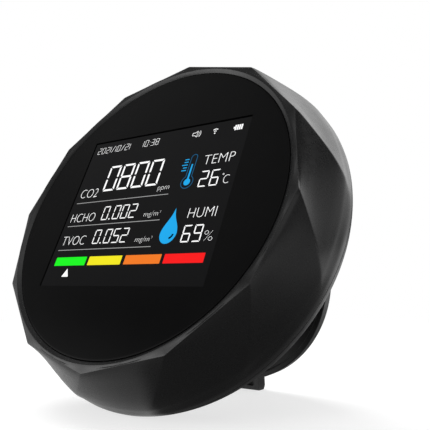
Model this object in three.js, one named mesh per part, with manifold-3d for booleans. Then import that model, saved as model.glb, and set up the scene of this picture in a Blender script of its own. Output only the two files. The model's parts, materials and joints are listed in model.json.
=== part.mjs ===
// Desktop carbon dioxide monitor: a round faceted body that leans back on a
// round swing-out stand. Millimetres, +Z up, the screen faces -Y, +X to the right.
//
// Every piece of the body is laid out in the device frame: x to the right and y up
// along the screen, z out of the screen, z = 0 on the face of the cover glass, with
// the centre of the glass at the origin. The whole device is then leaned back and
// stood on the desk, and the stand plate is swung open about its pin.
import * as THREE from 'three';
import { mergeVertices } from 'three/addons/utils/BufferGeometryUtils.js';
import Module from 'manifold-3d';

// ---------------------------------------------------------------- dimensions
const LEAN = 26.3;              // degrees the screen leans back from upright
const STAND_OPEN = 30;          // degrees the stand plate swings out of the back

// front housing
const FACETS = 12;              // sides of the polygon around the screen
const R_CORNER = 43.07;         // polygon corner radius at the front edge
const Z_CORNER = 0.33;          // height of the polygon edge
const R_CREST = 40.9;           // circle where the bezel is highest
const Z_CREST = 0.58;
const R_POCKET = 40.0;          // pocket that takes the glass
const TWIST = 1.285;            // degrees the facet edges turn per mm of depth
const Z_RIDGE = -15.4;          // depth where the facets have become a circle
const Z_PARTING = -17.4;        // joint between the housing and the rear cover
// corner radius of the body against depth; the widest place is 94 mm across
const BODY = [
  [0.33, 43.07], [0, 43.35], [-1.91, 43.83], [-3.83, 44.40], [-5.74, 44.98], [-7.66, 45.65],
  [-9.57, 46.22], [-11.5, 46.70], [-13.4, 46.96], [-14.4, 47.0], [-15.4, 46.97], [-17.3, 46.69],
];
// rear cover, outside and inside, radius and depth
const COVER_OUT = [
  [46.64, -17.5], [46.10, -18.9], [45.22, -20.68], [44.1, -22.2], [42.6, -23.8], [40.8, -25.3],
  [38.8, -26.7], [36.8, -27.9], [35.0, -28.75], [33.6, -29.25], [32.9, -29.4],
];
const COVER_IN = [
  [44.4, -17.5], [43.2, -20.3], [40.6, -23.1], [36.9, -25.5], [34.1, -26.8],
];
const COVER_SEGMENTS = 48;
const R_RECESS = 32.4;          // recess that the closed stand lies in
const Z_RECESS = -25.6;
const Z_FLOOR_IN = -24.0;
const Z_BACK = -29.4;           // 30 mm behind the crest of the bezel

// stand plate
const R_PLATE = 30.0;
const PLATE_Y = -2.0;          // its centre sits a little below the middle of the recess
const Z_PLATE = -26.0;
const PLATE_RIM = 1.4;
const PLATE_SKIN = 1.4;
const HINGE_Y = 28.6;
const HINGE_Z = -27.6;
const PIN_R = 0.75;
const KNUCKLE_R = 1.8;
const ARM_HALF = 13.6;
const FOOT_HALF = 7.5;
const FOOT_END = -34.455;

// screen, glass and display
const GLASS_R = 39.75, GLASS_T = 1.3;
const WINDOW = [57.0, 48.5];
const PANEL = [56.0, 47.5];

// electronics
const BOARD_R = 34.8, BOARD_FRONT = -16.4, BOARD_BACK = -18.0;
const COVER_SCREWS = [60, 120, 240, 300].map((a) => [38.6 * Math.cos(rad(a)), 38.6 * Math.sin(rad(a))]);
const BRACKET_SCREWS = [[33.2, 12], [-33.2, 12], [33.2, -12], [-33.2, -12]];
const BOARD_SCREWS = [[27.8, 14], [-27.8, 14], [0, -31.4]];
const BUTTON_R = 40.2;
const BUTTONS = { power_button: 78, menu_button: 90, alarm_button: 102 };

function rad(d) { return d * Math.PI / 180; }

// ---------------------------------------------------------------- solids
const wasm = await Module();
wasm.setup();

function volumeOf(pos, idx) {
  let v = 0;
  for (let i = 0; i < idx.length; i += 3) {
    const [a, b, c] = [idx[i] * 3, idx[i + 1] * 3, idx[i + 2] * 3];
    v += pos[a] * (pos[b + 1] * pos[c + 2] - pos[b + 2] * pos[c + 1])
      - pos[a + 1] * (pos[b] * pos[c + 2] - pos[b + 2] * pos[c])
      + pos[a + 2] * (pos[b] * pos[c + 1] - pos[b + 1] * pos[c]);
  }
  return v / 6;
}

// a three.js geometry as a solid, with its faces turned outwards
function solid(geometry) {
  let g = geometry.clone();
  g.deleteAttribute('normal');
  g.deleteAttribute('uv');
  g = mergeVertices(g, 1e-4);
  const pos = g.getAttribute('position').array;
  const raw = Array.from(g.index.array);
  const idx = [];
  for (let i = 0; i < raw.length; i += 3) {
    const [a, b, c] = [raw[i], raw[i + 1], raw[i + 2]];
    if (a !== b && b !== c && a !== c) idx.push(a, b, c);
  }
  if (volumeOf(pos, idx) < 0) for (let i = 0; i < idx.length; i += 3) [idx[i + 1], idx[i + 2]] = [idx[i + 2], idx[i + 1]];
  return new wasm.Manifold(new wasm.Mesh({ numProp: 3, vertProperties: new Float32Array(pos), triVerts: new Uint32Array(idx) }));
}

function geometryOf(manifold) {
  const m = manifold.getMesh();
  const g = new THREE.BufferGeometry();
  g.setAttribute('position', new THREE.BufferAttribute(new Float32Array(m.vertProperties), 3));
  g.setIndex(Array.from(m.triVerts));
  g.computeVertexNormals();
  return g;
}

// a closed profile [radius, depth] turned about the device's z axis
function turned(profile, segments = 48, offset = 0) {
  const pts = profile.map(([r, z]) => new THREE.Vector2(r, z));
  if (profile[0][0] > 1e-6 || profile[profile.length - 1][0] > 1e-6) pts.push(pts[0].clone());
  const g = new THREE.LatheGeometry(pts, segments);
  g.rotateX(Math.PI / 2);
  g.rotateZ(rad(offset));
  return solid(g);
}
function block(x0, x1, y0, y1, z0, z1) {
  const g = new THREE.BoxGeometry(x1 - x0, y1 - y0, z1 - z0);
  g.translate((x0 + x1) / 2, (y0 + y1) / 2, (z0 + z1) / 2);
  return solid(g);
}
function drum(x, y, z0, z1, r, segments = 16) {
  const g = new THREE.CylinderGeometry(r, r, Math.abs(z1 - z0), segments);
  g.rotateX(Math.PI / 2);
  g.translate(x, y, (z0 + z1) / 2);
  return solid(g);
}
function barX(x0, x1, y, z, r, segments = 16) {
  const g = new THREE.CylinderGeometry(r, r, x1 - x0, segments);
  g.rotateZ(Math.PI / 2);
  g.translate((x0 + x1) / 2, y, z);
  return solid(g);
}
function slab(shape, z0, z1, curveSegments = 6) {
  const g = new THREE.ExtrudeGeometry(shape, { depth: z1 - z0, bevelEnabled: false, curveSegments });
  g.translate(0, 0, z0);
  return solid(g);
}
function roundedRect(w, h, r, cx = 0, cy = 0) {
  const s = new THREE.Shape();
  const [x, y] = [cx - w / 2, cy - h / 2];
  s.moveTo(x + r, y); s.lineTo(x + w - r, y); s.quadraticCurveTo(x + w, y, x + w, y + r);
  s.lineTo(x + w, y + h - r); s.quadraticCurveTo(x + w, y + h, x + w - r, y + h);
  s.lineTo(x + r, y + h); s.quadraticCurveTo(x, y + h, x, y + h - r);
  s.lineTo(x, y + r); s.quadraticCurveTo(x, y, x + r, y);
  return s;
}
const join = (...s) => s.reduce((a, b) => a.add(b));
const cut = (a, ...s) => s.reduce((m, b) => m.subtract(b), a);

const materials = {
  shell: new THREE.MeshStandardMaterial({ color: 0x1d1d1f, roughness: 0.42, metalness: 0.0 }),
  glass: new THREE.MeshStandardMaterial({ color: 0x0b0b0c, roughness: 0.06, metalness: 0.0 }),
  adhesive: new THREE.MeshStandardMaterial({ color: 0x202022, roughness: 0.9 }),
  display: new THREE.MeshStandardMaterial({ color: 0x1a1b1e, roughness: 0.15 }),
  steel: new THREE.MeshStandardMaterial({ color: 0xb9bbbd, roughness: 0.35, metalness: 1.0 }),
  bracket: new THREE.MeshStandardMaterial({ color: 0x3a3b3d, roughness: 0.6 }),
  board: new THREE.MeshStandardMaterial({ color: 0x14512f, roughness: 0.45 }),
  ribbon: new THREE.MeshStandardMaterial({ color: 0xb8742a, roughness: 0.4 }),
  battery: new THREE.MeshStandardMaterial({ color: 0xc4c6c8, roughness: 0.35, metalness: 0.4 }),
  foam: new THREE.MeshStandardMaterial({ color: 0x4a4a4c, roughness: 0.95 }),
  chip: new THREE.MeshStandardMaterial({ color: 0x18181a, roughness: 0.5 }),
  sensor: new THREE.MeshStandardMaterial({ color: 0xc9a24a, roughness: 0.35, metalness: 0.6 }),
  connector: new THREE.MeshStandardMaterial({ color: 0xe8e4d8, roughness: 0.5 }),
  button: new THREE.MeshStandardMaterial({ color: 0x252527, roughness: 0.5 }),
};

const device = new THREE.Group();
const standGroup = new THREE.Group();
function add(name, manifold, material, parent = device) {
  const mesh = new THREE.Mesh(geometryOf(manifold), materials[material]);
  mesh.name = name;
  parent.add(mesh);
  return mesh;
}

// ---------------------------------------------------------------- front housing
// share of the flat polygon that is left at a depth; the rest is round
const FLATNESS = [
  [0.33, 1.0], [-0.4, 0.9], [-1.2, 0.8], [-3.0, 0.68], [-6.0, 0.56], [-9.0, 0.47],
  [-11.5, 0.37], [-13.4, 0.24], [-14.6, 0.1], [-15.4, 0.0],
];
function flatness(z) {
  if (z >= FLATNESS[0][0]) return 1;
  for (let i = 1; i < FLATNESS.length; i++) {
    if (z >= FLATNESS[i][0]) {
      const [z0, k0] = FLATNESS[i - 1], [z1, k1] = FLATNESS[i];
      return k0 + (k1 - k0) * (z - z0) / (z1 - z0);
    }
  }
  return 0;
}

function bodyRadius(z) {
  for (let i = 1; i < BODY.length; i++) {
    if (z >= BODY[i][0]) {
      const [z0, r0] = BODY[i - 1], [z1, r1] = BODY[i];
      return r0 + (r1 - r0) * (z - z0) / (z1 - z0);
    }
  }
  return BODY[BODY.length - 1][1];
}
// one point of the faceted side: a polygon at the front that turns with depth and
// swells into a circle at the ridge
function sidePoint(angle, z) {
  const keep = flatness(z);
  const r = bodyRadius(z);
  const step = 360 / FACETS;
  const local = ((angle % step) + step) % step - step / 2;
  const flat = r * Math.cos(rad(step / 2)) / Math.cos(rad(local));
  const rr = keep * flat + (1 - keep) * r;
  const a = rad(angle - TWIST * (Z_CORNER - z));
  return [rr * Math.cos(a), rr * Math.sin(a), z];
}
function facetedBody() {
  const per = 4, n = FACETS * per;
  const depths = [0.33, -0.6, -1.91, -3.83, -5.74, -7.66, -9.57, -11.5, -13.4, -15.4, Z_PARTING + 0.1];
  const v = [], idx = [];
  const ring = (f) => { const s = v.length / 3; for (let i = 0; i < n; i++) v.push(...f(i * 360 / n)); return s; };
  const rings = [ring((a) => [R_CREST * Math.cos(rad(a)), R_CREST * Math.sin(rad(a)), Z_CREST])];
  for (const z of depths) rings.push(ring((a) => sidePoint(a, z)));
  for (let k = 0; k + 1 < rings.length; k++) for (let i = 0; i < n; i++) {
    const j = (i + 1) % n, a = rings[k] + i, b = rings[k] + j, c = rings[k + 1] + i, d = rings[k + 1] + j;
    idx.push(a, c, b, b, c, d);
  }
  const top = v.length / 3; v.push(0, 0, Z_CREST);
  const bottom = v.length / 3; v.push(0, 0, Z_PARTING + 0.1);
  const last = rings[rings.length - 1];
  for (let i = 0; i < n; i++) { const j = (i + 1) % n; idx.push(top, rings[0] + i, rings[0] + j, bottom, last + j, last + i); }
  const g = new THREE.BufferGeometry();
  g.setAttribute('position', new THREE.BufferAttribute(new Float32Array(v), 3));
  g.setIndex(idx);
  return solid(g);
}
{
  const chamfer = (R_CREST - R_POCKET) / (Z_CREST + 0.1);
  const pocket = turned([[0, 2], [R_CREST + (2 - Z_CREST) * chamfer, 2], [R_POCKET, -0.1], [R_POCKET, -2.1], [0, -2.1]], 60);
  const cavity = turned([[0, -3.9], [41.0, -3.9], [42.2, -7], [43.6, -10], [44.4, -13], [44.4, -19], [0, -19]], 48);
  let s = cut(facetedBody(), pocket, cavity, slab(roundedRect(WINDOW[0], WINDOW[1], 1.5), -5, -1));
  // bosses that take the rear cover's screws, and short ones for the display bracket
  for (const [x, y] of COVER_SCREWS) s = s.add(drum(x, y, -20.4, -3.0, 3.1, 14));
  for (const [x, y] of BRACKET_SCREWS) s = s.add(drum(x, y, -5.4, -3.0, 2.3, 12));
  for (const [x, y] of COVER_SCREWS) s = s.subtract(drum(x, y, -21, -12.0, 1.25, 10));
  for (const [x, y] of BRACKET_SCREWS) s = s.subtract(drum(x, y, -6, -3.2, 1.0, 8));
  add('front_housing', s, 'shell');
}

// ---------------------------------------------------------------- glass and display
add('cover_glass', turned([[0, 0], [GLASS_R - 0.25, 0], [GLASS_R, -0.25], [GLASS_R, -GLASS_T], [0, -GLASS_T]], 60), 'glass');
add('glass_adhesive', cut(turned([[0, -1.5], [39.4, -1.5], [39.4, -1.9], [0, -1.9]], 48),
  slab(roundedRect(WINDOW[0] + 0.6, WINDOW[1] + 0.6, 1.5), -3, 0)), 'adhesive');
add('display_panel', slab(roundedRect(PANEL[0], PANEL[1], 1), -3.3, -1.55), 'display');
add('display_backlight', cut(slab(roundedRect(PANEL[0], PANEL[1], 1), -5.3, -3.5), block(-20, 20, -16, 16, -6, -4.9)), 'steel');

// ---------------------------------------------------------------- display bracket
{
  let s = turned([[0, -5.6], [38.2, -5.6], [38.2, -7.0], [0, -7.0]], 40);
  for (const [x, y] of BOARD_SCREWS) s = s.add(drum(x, y, -16.2, -6.5, 2.4, 12));
  for (const [x, y] of COVER_SCREWS) s = s.subtract(drum(x, y, -10, -4, 3.5, 14));
  for (const [x, y] of BRACKET_SCREWS) s = s.subtract(drum(x, y, -10, -4, 1.15, 8));
  for (const [x, y] of BOARD_SCREWS) s = s.subtract(drum(x, y, -17, -9, 1.1, 8));
  s = cut(s, block(-9, 9, 25.4, 31, -9, -4), block(-17.2, 17.2, -29.5, -8, -9, -4));
  add('display_bracket', s, 'bracket');
}
{
  // flat cable from the display round the bracket to the main board
  const curve = new THREE.CatmullRomCurve3([
    [0, 24.1, -4.4], [0, 26.0, -4.6], [0, 27.8, -6.4], [0, 28.4, -9.5], [0, 27.6, -13.2], [0, 25.6, -15.2], [0, 24.0, -15.6],
  ].map((p) => new THREE.Vector3(...p)));
  const strip = new THREE.Shape([[-6, -0.1], [6, -0.1], [6, 0.1], [-6, 0.1]].map((p) => new THREE.Vector2(...p)));
  const pts = curve.getPoints(14);
  const v = [], idx = [];
  for (let i = 0; i < pts.length; i++) {
    const a = pts[Math.max(0, i - 1)], b = pts[Math.min(pts.length - 1, i + 1)];
    const [ty, tz] = [b.y - a.y, b.z - a.z], l = Math.hypot(ty, tz);
    for (const q of strip.getPoints().slice(0, 4)) v.push(q.x, pts[i].y - tz / l * q.y, pts[i].z + ty / l * q.y);
  }
  for (let i = 0; i + 1 < pts.length; i++) for (let k = 0; k < 4; k++) {
    const a = i * 4 + k, b = i * 4 + (k + 1) % 4;
    idx.push(a, b, a + 4, b, b + 4, a + 4);
  }
  const e = (pts.length - 1) * 4;
  idx.push(0, 2, 1, 0, 3, 2, e, e + 1, e + 2, e, e + 2, e + 3);
  const g = new THREE.BufferGeometry();
  g.setAttribute('position', new THREE.BufferAttribute(new Float32Array(v), 3));
  g.setIndex(idx);
  add('display_ribbon', solid(g), 'ribbon');
}
add('ribbon_connector', block(-7.5, 7.5, 19.6, 23.7, -16.15, -14.6), 'connector');

// ---------------------------------------------------------------- battery
add('battery_pad', block(-18, 18, -4, 19, -7.75, -7.25), 'foam');
add('battery_cell', slab(roundedRect(46, 25, 2, 0, 7.0), -13.6, -8.0, 4), 'battery');
add('battery_connector', block(-33.0, -26.5, -4, 2, -16.15, -12.8), 'connector');

// ---------------------------------------------------------------- main board and what it carries
{
  let s = turned([[0, BOARD_FRONT], [BOARD_R, BOARD_FRONT], [BOARD_R, BOARD_BACK], [0, BOARD_BACK]], 48);
  s = s.add(block(-42.4, -30, -6.5, 6.5, BOARD_BACK, BOARD_FRONT));
  for (const [x, y] of BOARD_SCREWS) s = s.subtract(drum(x, y, -19, -15, 1.15, 8));
  // slot that keeps the board's heat away from the temperature sensor
  s = cut(s, block(26.2, 27.4, -12, -2, -19, -15));
  add('main_board', s, 'board');
}
{
  let s = block(-16.5, 16.5, -28.6, -8.8, -16.1, -8.6);
  s = s.subtract(block(-14.5, 6.5, -26.8, -10.6, -9.2, -8));
  add('co2_sensor', s, 'sensor');
}
add('formaldehyde_sensor', turned([[0, 0], [6.2, 0], [6.2, -3.6], [4.8, -4.6], [0, -4.6]], 20).translate([-14, -15, -18.2]), 'steel');
add('tvoc_sensor', join(block(6.5, 15.5, -22, -13, -19.4, -18.2), drum(11, -17.5, -21.4, -19.2, 3.2, 14)), 'steel');
add('temp_humidity_sensor', cut(block(28.6, 33.0, -9.4, -5, -19.8, -18.2), drum(30.8, -7.2, -20, -19.3, 1.0, 8)), 'connector');
add('alarm_buzzer', cut(drum(-16, 14, -22.6, -18.2, 5.6, 20), drum(-16, 14, -23, -21.8, 1.0, 8)), 'chip');
add('wireless_module', join(block(10, 24, -4, 16, -19.0, -18.2), block(11, 23, -3, 10, -20.6, -18.9)), 'steel');
add('processor_chip', block(-4, 6, -3, 7, -19.6, -18.2), 'chip');
add('usb_port', cut(slab(roundedRect(8.94, 3.2, 1.2), 0, 9.3, 4).rotate([90, 0, 90]).translate([-44.7, 0, -19.85]),
  slab(roundedRect(8.3, 2.5, 1.0), 0, 8.3, 4).rotate([90, 0, 90]).translate([-45.0, 0, -19.85])), 'steel');

// ---------------------------------------------------------------- buttons
function sector(r0, r1, a0, a1) {
  const s = new THREE.Shape();
  s.absarc(0, 0, r1, rad(a0), rad(a1), false);
  s.absarc(0, 0, r0, rad(a1), rad(a0), true);
  return s;
}
add('button_board', slab(sector(37.0, 42.0, 70, 110), -20.3, -19.3, 8), 'board');
for (const [name, angle] of Object.entries(BUTTONS)) {
  const [x, y] = [BUTTON_R * Math.cos(rad(angle)), BUTTON_R * Math.sin(rad(angle))];
  add(name.replace('button', 'switch'), join(block(x - 2.1, x + 2.1, y - 1.7, y + 1.7, -21.6, -20.45), drum(x, y, -21.9, -21.4, 0.9, 8)), 'chip');
  // the cap's face follows the slope of the cover and stands a little proud of it
  const cap = drum(x, y, -30, -23.4, 2.35, 16).intersect(turned([[0, -15], ...COVER_OUT.map(([r, z]) => [r + 0.35, z - 0.5]), [0, -30]], 48));
  add(name, join(cap, drum(x, y, -24, -22.6, 1.2, 8)), 'button');
}

// ---------------------------------------------------------------- rear cover
{
  const half = 180 / COVER_SEGMENTS;
  const outside = turned([[0, -17.5], ...COVER_OUT, [R_RECESS, Z_BACK], [R_RECESS, Z_RECESS], [0, Z_RECESS]], COVER_SEGMENTS, half);
  const inside = turned([[0, -17.4], [44.4, -17.4], ...COVER_IN, [34.1, Z_FLOOR_IN], [0, Z_FLOOR_IN]], COVER_SEGMENTS, half);
  const lip = turned([[43.0, -15.9], [44.0, -15.9], [44.0, -17.8], [44.6, -17.8], [44.6, -18.6], [43.0, -18.6]], COVER_SEGMENTS, half);
  const whole = turned([[0, -17.5], ...COVER_OUT, [0, Z_BACK]], COVER_SEGMENTS, half);
  let s = cut(outside, inside).add(lip);
  // screw posts, the walls of the foot notch, and solid ends for the stand pin
  let fill = block(-9.8, 9.8, -39.4, -31.5, -30, Z_FLOOR_IN);
  for (const [x, y] of COVER_SCREWS) fill = fill.add(drum(x, y, -30, -20.7, 3.9, 18));
  for (const side of [-1, 1]) fill = fill.add(block(Math.min(side * 14.3, side * 19.8), Math.max(side * 14.3, side * 19.8), 25.5, 31.6, -30, Z_FLOOR_IN));
  fill = fill.add(block(-16, 16, 30, 33.2, -30, Z_FLOOR_IN));
  fill = fill.intersect(whole).subtract(turned([[0, Z_RECESS], [R_RECESS, Z_RECESS], [R_RECESS, -31], [0, -31]], COVER_SEGMENTS, half));
  s = s.add(fill);
  for (const [x, y] of COVER_SCREWS) s = cut(s, drum(x, y, -31, -22.3, 2.4, 18), drum(x, y, -23, -20, 1.5, 12));
  // pocket for the hinge arm, the pin's hole, and the notch for the foot
  s = cut(s, block(-14.2, 14.2, 24, 31.0, -31, Z_RECESS), barX(-18.0, 18.0, HINGE_Y, HINGE_Z, 1.0, 14),
    block(-8.1, 8.1, -38.0, -31, -31, -25.5));
  // socket, button holes and vents
  s = s.subtract(slab(roundedRect(9.7, 3.9, 1.5), 0, 10, 4).rotate([90, 0, 90]).translate([-50, 0, -19.85]));
  for (const angle of Object.values(BUTTONS)) s = s.subtract(drum(BUTTON_R * Math.cos(rad(angle)), BUTTON_R * Math.sin(rad(angle)), -31, -21, 2.65, 16));
  for (let k = -4; k <= 4; k++) for (const base of [0, 180]) {
    const slot = slab(roundedRect(6.4, 1.5, 0.7, 39.3, 0), -31, -20, 1).rotate([0, 0, base + k * 7.5]);
    s = s.subtract(slot);
  }
  add('rear_cover', s, 'shell');
}

// ---------------------------------------------------------------- screws
function screw(name, x, y, zHead, headR, headT, shankR, length) {
  // a pan head, with its shank towards the screen
  const m = turned([[0, 0], [headR * 0.7, 0], [headR, headT * 0.45], [headR, headT], [shankR, headT], [shankR, headT + length], [0, headT + length]], 10);
  const slot = join(block(-headR * 0.55, headR * 0.55, -0.22, 0.22, -1, headT * 0.5), block(-0.22, 0.22, -headR * 0.55, headR * 0.55, -1, headT * 0.5));
  add(name, m.subtract(slot).translate([x, y, zHead]), 'steel');
}
COVER_SCREWS.forEach(([x, y], i) => screw(`cover_screw_${i + 1}`, x, y, -23.9, 1.9, 1.3, 0.95, 7.5));
BRACKET_SCREWS.forEach(([x, y], i) => screw(`bracket_screw_${i + 1}`, x, y, -8.3, 1.9, 1.1, 0.75, 3.6));
BOARD_SCREWS.forEach(([x, y], i) => screw(`board_screw_${i + 1}`, x, y, -19.5, 1.9, 1.3, 0.75, 6.0));

// ---------------------------------------------------------------- stand
add('stand_pin', barX(-17.4, 17.4, HINGE_Y, HINGE_Z, PIN_R, 14), 'steel');
{
  // a shallow dish, drawn closed against the back
  const half = 180 / COVER_SEGMENTS;
  const disc = turned([[0, Z_BACK], [R_PLATE - 0.5, Z_BACK], [R_PLATE, Z_BACK + 0.5], [R_PLATE, Z_PLATE + 0.3], [R_PLATE - 0.3, Z_PLATE], [0, Z_PLATE]], COVER_SEGMENTS, half).translate([0, PLATE_Y, 0]);
  const dish = turned([[0, Z_BACK + PLATE_SKIN], [R_PLATE - PLATE_RIM, Z_BACK + PLATE_SKIN], [R_PLATE - PLATE_RIM, 0], [0, 0]], COVER_SEGMENTS, half).translate([0, PLATE_Y, 0]);
  const keep = block(-40, 40, -40, 25.0, -40, 0);
  let s = disc.intersect(keep);
  s = s.subtract(dish.intersect(block(-40, 40, -40, 23.6, -40, 0)));
  // hinge arm and its knuckle
  s = join(s, block(-ARM_HALF, ARM_HALF, 23, HINGE_Y, Z_BACK, -27.9), barX(-ARM_HALF, ARM_HALF, HINGE_Y, HINGE_Z, KNUCKLE_R, 20));
  // stiffening ribs that run down to the foot
  for (const x of [-6.7, 6.7]) s = s.add(block(x - 0.7, x + 0.7, -31, 24, Z_BACK + 0.7, Z_PLATE - 0.5));
  // foot: a hollow tab whose sole lies flat on the desk when the stand is open
  const sole = rad(STAND_OPEN - LEAN);
  const foot = new THREE.Shape([
    [-29.5, Z_PLATE], [FOOT_END, Z_PLATE], [FOOT_END + Math.tan(sole) * (Z_BACK + 0.7 - Z_PLATE), Z_BACK + 0.7],
    [FOOT_END + 0.9, Z_BACK], [-29.5, Z_BACK],
  ].map(([y, z]) => new THREE.Vector2(y, z)));
  // sketch in y and z, drawn out along x
  const g = new THREE.ExtrudeGeometry(foot, { depth: 2 * FOOT_HALF, bevelEnabled: false });
  g.applyMatrix4(new THREE.Matrix4().set(0, 0, 1, -FOOT_HALF, 1, 0, 0, 0, 0, 1, 0, 0, 0, 0, 0, 1));
  s = s.add(solid(g));
  s = cut(s, block(-5.9, 5.9, -33.3, -29.0, -28.2, -20), barX(-20, 20, HINGE_Y, HINGE_Z, 1.0, 14));
  const mesh = new THREE.Mesh(geometryOf(s.translate([0, -HINGE_Y, -HINGE_Z])), materials.shell);
  mesh.name = 'stand_plate';
  standGroup.add(mesh);
}
standGroup.position.set(0, HINGE_Y, HINGE_Z);
standGroup.rotation.x = rad(STAND_OPEN);
device.add(standGroup);

// ---------------------------------------------------------------- stand it on the desk
const part = new THREE.Group();
device.rotation.x = rad(90 - LEAN);
part.add(device);
part.updateMatrixWorld(true);
{
  const box = new THREE.Box3().setFromObject(part, true);
  device.position.set(0, -(box.min.y + box.max.y) / 2, -box.min.z);
}
part.updateMatrixWorld(true);

export default part;
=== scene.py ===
import bpy, bmesh, json, math
import numpy as np
from mathutils import Matrix, Vector


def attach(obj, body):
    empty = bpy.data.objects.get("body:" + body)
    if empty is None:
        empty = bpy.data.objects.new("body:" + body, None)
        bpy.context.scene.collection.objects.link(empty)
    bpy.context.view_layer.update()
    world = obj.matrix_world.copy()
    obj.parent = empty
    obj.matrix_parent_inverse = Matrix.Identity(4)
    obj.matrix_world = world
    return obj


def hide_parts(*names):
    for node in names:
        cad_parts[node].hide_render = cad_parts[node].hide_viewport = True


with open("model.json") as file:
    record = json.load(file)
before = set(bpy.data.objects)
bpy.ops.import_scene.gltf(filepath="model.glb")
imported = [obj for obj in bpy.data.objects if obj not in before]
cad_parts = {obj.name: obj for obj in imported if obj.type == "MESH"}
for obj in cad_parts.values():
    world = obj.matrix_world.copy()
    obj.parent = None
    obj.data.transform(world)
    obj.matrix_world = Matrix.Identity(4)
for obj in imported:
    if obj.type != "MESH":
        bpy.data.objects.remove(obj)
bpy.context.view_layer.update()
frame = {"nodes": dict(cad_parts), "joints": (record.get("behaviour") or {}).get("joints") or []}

# ------------------------------------------------------------------ device frame
# x right and y up along the screen, z out of the glass, millimetres; the device leans back on the desk.
LEAN = 26.3
OPEN = 30.0
HINGE = (28.6, -27.6)
joint = {j["name"]: j for j in frame["joints"]}
B = math.radians(90 - LEAN)
ROT = np.array([[1, 0, 0], [0, math.cos(B), -math.sin(B)], [0, math.sin(B), math.cos(B)]])
ORIGIN = np.array(joint["stand_hinge"]["pos_m"]) * 1000 - ROT @ np.array([0, HINGE[0], HINGE[1]])


def to_world(p):
    """device millimetres to metres in the row frame"""
    return (np.asarray(p, float) @ ROT.T + ORIGIN) / 1000


def opened(p):
    """a point of the stand, drawn closed, in the device frame with the stand open"""
    p = np.asarray(p, float)
    c, s = math.cos(math.radians(OPEN)), math.sin(math.radians(OPEN))
    y, z = p[..., 1] - HINGE[0], p[..., 2] - HINGE[1]
    return np.stack([p[..., 0], HINGE[0] + y * c - z * s, HINGE[1] + y * s + z * c], -1)


# ------------------------------------------------------------------ mesh helpers
def make(name, verts, faces, place=to_world, smooth=True, angle=32):
    """a mesh object from device-frame points"""
    me = bpy.data.meshes.new(name)
    pts = place(np.asarray(verts, float)) if place else np.asarray(verts, float)
    me.from_pydata([tuple(v) for v in pts], [], [tuple(int(i) for i in f) for f in faces])
    me.validate()
    bm = bmesh.new()
    bm.from_mesh(me)
    bmesh.ops.recalc_face_normals(bm, faces=bm.faces)
    bm.to_mesh(me)
    bm.free()
    finish_normals(me, smooth, angle)
    o = bpy.data.objects.new(name, me)
    bpy.context.scene.collection.objects.link(o)
    return o


def finish_normals(me, smooth=True, angle=32):
    me.polygons.foreach_set("use_smooth", [smooth] * len(me.polygons))
    if smooth:
        me.set_sharp_from_angle(angle=math.radians(angle))
    me.update()


def lathe(profile, n=96, centre=(0, 0), offset=0.0):
    """verts, faces of a closed profile [(r, z)] turned about the z axis; ends on the axis are closed to a point"""
    verts, faces, rows = [], [], []
    for r, z in profile:
        if r < 1e-6:
            rows.append([len(verts)] * n)
            verts.append((centre[0], centre[1], z))
        else:
            s = len(verts)
            for i in range(n):
                a = 2 * math.pi * i / n + math.radians(offset)
                verts.append((centre[0] + r * math.cos(a), centre[1] + r * math.sin(a), z))
            rows.append(list(range(s, s + n)))
    closed = not (profile[0][0] < 1e-6 and profile[-1][0] < 1e-6)
    pairs = list(zip(rows, rows[1:])) + ([(rows[-1], rows[0])] if closed else [])
    for a, b in pairs:
        for i in range(n):
            j = (i + 1) % n
            f = [a[i], a[j], b[j], b[i]]
            u = []
            for k in f:
                if k not in u:
                    u.append(k)
            if len(u) > 2:
                faces.append(u)
    return verts, faces


def rounded(points, radii, seg=5, closed=False):
    """a polyline with its corners rounded; radii is one number or one for each point"""
    pts = [np.array(p, float) for p in points]
    if not hasattr(radii, "__len__"):
        radii = [radii] * len(pts)
    out = []
    n = len(pts)
    for i, p in enumerate(pts):
        if (not closed and i in (0, n - 1)) or radii[i] <= 0:
            out.append(tuple(p))
            continue
        a, b = pts[(i - 1) % n] - p, pts[(i + 1) % n] - p
        la, lb = np.linalg.norm(a), np.linalg.norm(b)
        a, b = a / la, b / lb
        ang = math.acos(max(-1, min(1, float(a @ b))))
        if ang > math.pi - 0.02:
            out.append(tuple(p))
            continue
        d = min(radii[i] / math.tan(ang / 2), la * 0.49, lb * 0.49)
        r = d * math.tan(ang / 2)
        c = p + (a + b) / np.linalg.norm(a + b) * (r / math.sin(ang / 2))
        s, e = p + a * d - c, p + b * d - c
        for k in range(seg + 1):
            t = k / seg
            v = s * math.sin((1 - t) * (math.pi - ang)) + e * math.sin(t * (math.pi - ang))
            v = v / np.linalg.norm(v) * r if np.linalg.norm(v) > 1e-12 else s
            out.append(tuple(c + v))
    return out


def rect_loop(w, h, r, cx=0, cy=0, seg=6):
    r = min(r, w / 2 - 1e-4, h / 2 - 1e-4)
    pts = []
    for sx, sy, a0 in ((1, 1, 0), (-1, 1, 90), (-1, -1, 180), (1, -1, 270)):
        for k in range(seg + 1):
            a = math.radians(a0 + 90 * k / seg)
            pts.append((cx + sx * (w / 2 - r) + r * math.cos(a), cy + sy * (h / 2 - r) + r * math.sin(a)))
    return pts


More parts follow.
